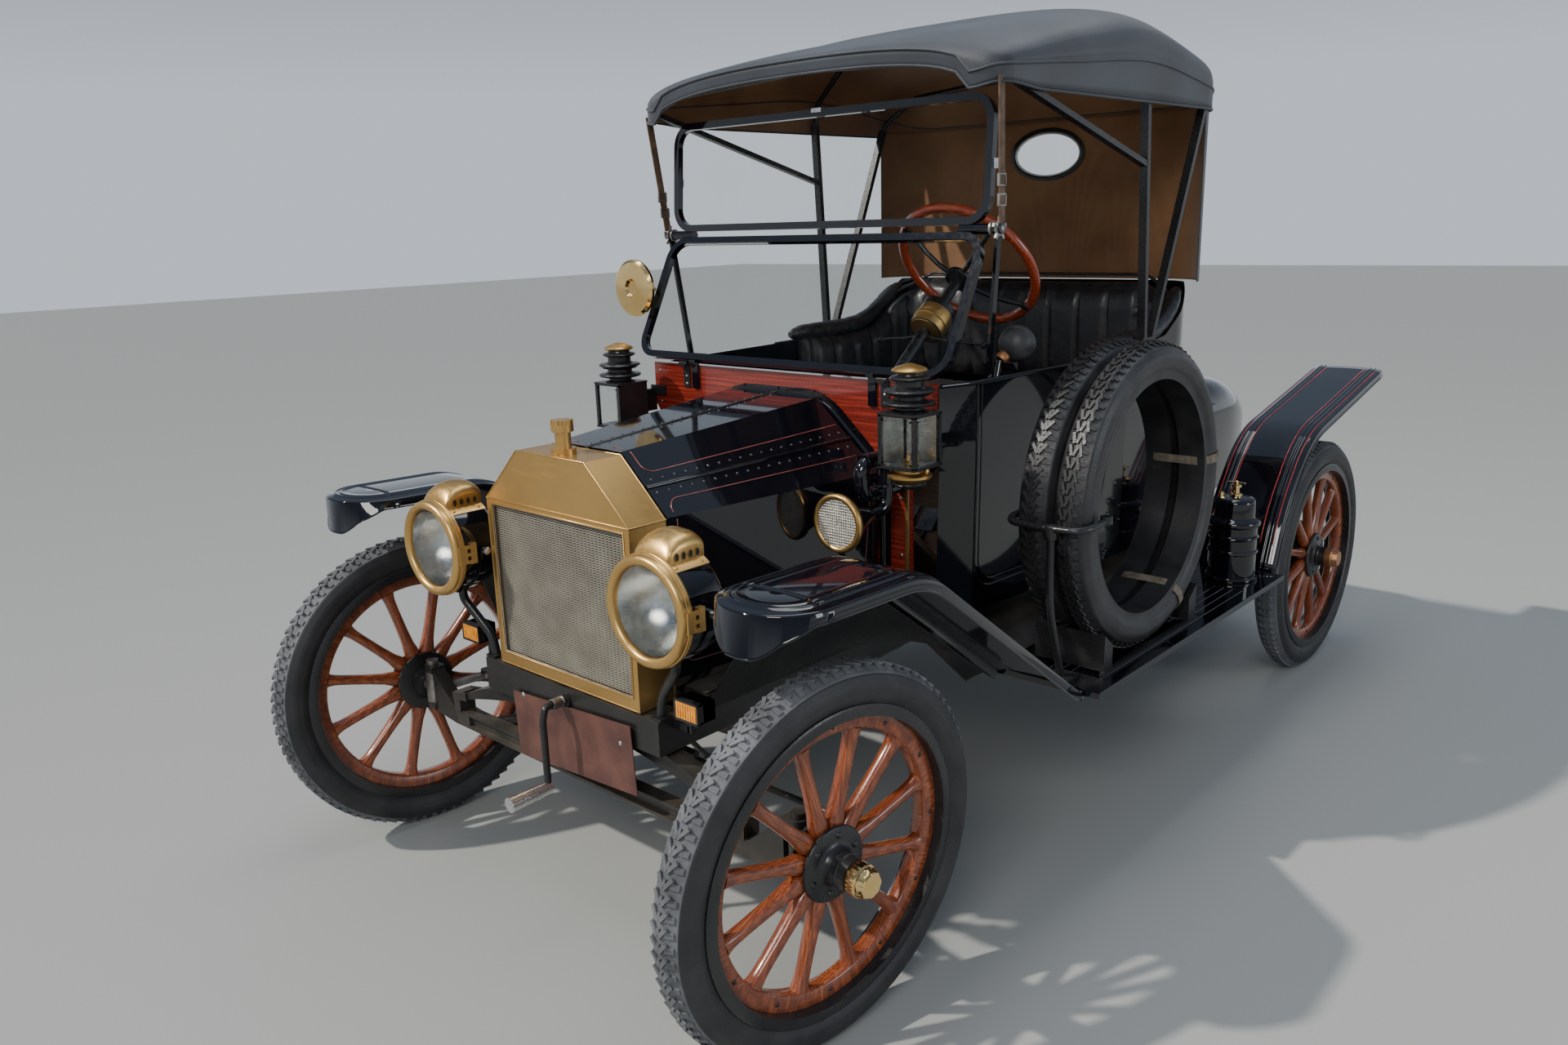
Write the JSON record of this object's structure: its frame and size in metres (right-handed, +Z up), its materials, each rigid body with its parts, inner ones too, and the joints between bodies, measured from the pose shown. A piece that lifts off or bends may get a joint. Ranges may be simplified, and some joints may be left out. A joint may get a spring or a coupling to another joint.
{
  "type": "early brass era two-seat runabout car",
  "caption": "Open two-seat runabout with wooden-spoke wheels, brass radiator and lamps, folding top, spare tyres and rear deck; wheels roll, steering, door, hood and lid move.",
  "frame": {"origin": "on the ground under the middle of the whole car", "axes": "+X is the car's left, +Y its rear, +Z up"},
  "size_m": [1.676, 3.3191, 2.0618],
  "materials": {
    "amber_lamp": "amber lens in a black case",
    "black_paint": "gloss black coach enamel",
    "chassis_black": "satin black chassis paint with road dust",
    "clear_glass": "clear window glass",
    "core_fins": "dull wavy radiator fins",
    "engine_grey": "bare cast iron, oily",
    "floor_wood": "dark stained boards",
    "gold_brass": "satin gold-brass",
    "grip_metal": "black crank with a polished aluminium grip",
    "horn_black": "gloss black tube with brass rim and grey rubber bulb",
    "mahogany": "polished mahogany rim, black spider, brass gear case",
    "muffler_rust": "brown-black rusty steel",
    "plate_brown": "blank brown enamel plate, worn at its edges",
    "polished_brass": "polished brass with fine scratches",
    "red_wood": "cherry-red varnished timber with level grain",
    "seat_leather": "black buttoned leather",
    "strap_leather": "brown leather strap",
    "tie_rod_black": "satin black chassis paint",
    "top_cloth": "black leathercloth outside, tan cloth inside",
    "tyre": "worn black rubber with a raised block tread",
    "wheel_wood": "varnished orange-brown wooden spokes and felloes, black steel rim and flanges, brass hub cap",
    "worn_tyre": "weathered grey-black rubber"
  },
  "bodies": {
    "chassis": {"body_shell": "black_paint", "body_sills": "floor_wood", "cabin_floor": "floor_wood", "controls": "chassis_black", "engine": "engine_grey", "exhaust": "muffler_rust", "firewall": "red_wood", "frame": "chassis_black", "front_axle": "chassis_black", "front_fenders": "black_paint", "fuel_tank": "chassis_black", "gas_generator": "chassis_black", "headlamp_bodies": "black_paint", "headlamp_rims": "polished_brass", "hood_former": "black_paint", "horn": "horn_black", "indicator_lamps": "amber_lamp", "lamp_glasses": "clear_glass", "mirror": "polished_brass", "number_plate": "plate_brown", "radiator_core": "core_fins", "radiator_shell": "gold_brass", "rear_axle": "chassis_black", "rear_deck": "black_paint", "rear_fenders": "black_paint", "running_boards": "black_paint", "seat_back": "seat_leather", "seat_cushion": "seat_leather", "side_lamps": "black_paint", "spare_tyres": "worn_tyre", "splash_aprons": "black_paint", "springs": "chassis_black", "steering_column": "chassis_black", "top_bows": "chassis_black", "top_canopy": "top_cloth", "top_straps": "strap_leather", "tyre_carrier": "chassis_black", "window_glass": "clear_glass", "windshield_frame": "black_paint"},
    "wheel_front_left": {"tyre_front_left": "tyre", "wheel_front_left": "wheel_wood"},
    "wheel_front_right": {"tyre_front_right": "tyre", "wheel_front_right": "wheel_wood"},
    "wheel_rear_left": {"tyre_rear_left": "tyre", "wheel_rear_left": "wheel_wood"},
    "wheel_rear_right": {"tyre_rear_right": "tyre", "wheel_rear_right": "wheel_wood"},
    "knuckle_left": {"knuckle_left": "chassis_black"},
    "knuckle_right": {"knuckle_right": "chassis_black"},
    "tie_rod": {"tie_rod": "tie_rod_black"},
    "pitman_arm": {"pitman_arm": "chassis_black"},
    "steering_wheel": {"steering_wheel": "mahogany"},
    "door_right": {"door_right": "black_paint"},
    "deck_lid": {"deck_lid": "black_paint"},
    "hood_top_left": {"hood_top_left": "black_paint"},
    "hood_top_right": {"hood_top_right": "black_paint"},
    "hood_side_left": {"hood_side_left": "black_paint"},
    "hood_side_right": {"hood_side_right": "black_paint"},
    "crank": {"crank": "grip_metal"}
  },
  "joints": [
    {"name": "steer_left", "type": "hinge", "parent": "chassis", "child": "knuckle_left", "pos_m": [0.64, -1.267, 0.388], "axis": [0, 0, 1], "range_deg": [-24.5, 35.5]},
    {"name": "steer_right", "type": "hinge", "parent": "chassis", "child": "knuckle_right", "pos_m": [-0.64, -1.267, 0.388], "axis": [0, 0, 1], "range_deg": [-24.5, 35.5]},
    {"name": "wheel_front_left_spin", "type": "hinge", "parent": "knuckle_left", "child": "wheel_front_left", "pos_m": [0.71068, -1.27377, 0.38674], "axis": [0.9947, -0.0953, -0.0387], "continuous": true},
    {"name": "wheel_front_right_spin", "type": "hinge", "parent": "knuckle_right", "child": "wheel_front_right", "pos_m": [-0.71068, -1.26023, 0.38674], "axis": [0.9947, -0.0953, 0.0387], "continuous": true},
    {"name": "wheel_rear_left_spin", "type": "hinge", "parent": "chassis", "child": "wheel_rear_left", "pos_m": [0.711, 1.273, 0.387], "axis": [1, 0, 0], "continuous": true},
    {"name": "wheel_rear_right_spin", "type": "hinge", "parent": "chassis", "child": "wheel_rear_right", "pos_m": [-0.711, 1.273, 0.387], "axis": [1, 0, 0], "continuous": true},
    {"name": "tie_rod_turn", "type": "hinge", "parent": "knuckle_left", "child": "tie_rod", "pos_m": [0.6543, -1.11768, 0.374], "axis": [0, 0, 1], "range_deg": [-35.5, 24.5]},
    {"name": "pitman_turn", "type": "hinge", "parent": "chassis", "child": "pitman_arm", "pos_m": [0.232, -1.21791, 0.51123], "axis": [0, 0.7793, 0.6266], "range_deg": [-24.5, 35.5]},
    {"name": "steering_wheel_turn", "type": "hinge", "parent": "chassis", "child": "steering_wheel", "pos_m": [0.232, -0.19386, 1.33458], "axis": [0, 0.7793, 0.6266], "range_deg": [-98, 142]},
    {"name": "door_right_swing", "type": "hinge", "parent": "chassis", "child": "door_right", "pos_m": [-0.515, -0.47, 0.9], "axis": [0, 0, 1], "range_deg": [0, 70]},
    {"name": "deck_lid_lift", "type": "hinge", "parent": "chassis", "child": "deck_lid", "pos_m": [0, 0.813, 0.98942], "axis": [1, 0, 0], "range_deg": [0, 75]},
    {"name": "hood_top_left_lift", "type": "hinge", "parent": "chassis", "child": "hood_top_left", "pos_m": [0, -1.2097, 1.07959], "axis": [0, -0.9974, -0.072], "range_deg": [0, 60]},
    {"name": "hood_top_right_lift", "type": "hinge", "parent": "chassis", "child": "hood_top_right", "pos_m": [0, -1.2097, 1.07959], "axis": [0, 0.9974, 0.072], "range_deg": [0, 60]},
    {"name": "hood_side_left_hang", "type": "hinge", "parent": "hood_top_left", "child": "hood_side_left", "pos_m": [0.1827, -1.204, 1.0138], "axis": [-0.1177, -0.9924, -0.036], "range_deg": [-60, 0]},
    {"name": "hood_side_right_hang", "type": "hinge", "parent": "hood_top_right", "child": "hood_side_right", "pos_m": [-0.1827, -1.204, 1.0138], "axis": [-0.1177, 0.9924, 0.036], "range_deg": [-60, 0]},
    {"name": "crank_turn", "type": "hinge", "parent": "chassis", "child": "crank", "pos_m": [0, -1.315, 0.532], "axis": [0, 1, 0], "continuous": true}
  ],
  "couplings": [
    {"joint": "steer_right", "follows": "steer_left", "ratio": 1},
    {"joint": "tie_rod_turn", "follows": "steer_left", "ratio": -1},
    {"joint": "pitman_turn", "follows": "steer_left", "ratio": 1},
    {"joint": "steering_wheel_turn", "follows": "steer_left", "ratio": 4},
    {"joint": "hood_side_left_hang", "follows": "hood_top_left_lift", "ratio": -1},
    {"joint": "hood_side_right_hang", "follows": "hood_top_right_lift", "ratio": -1}
  ]
}
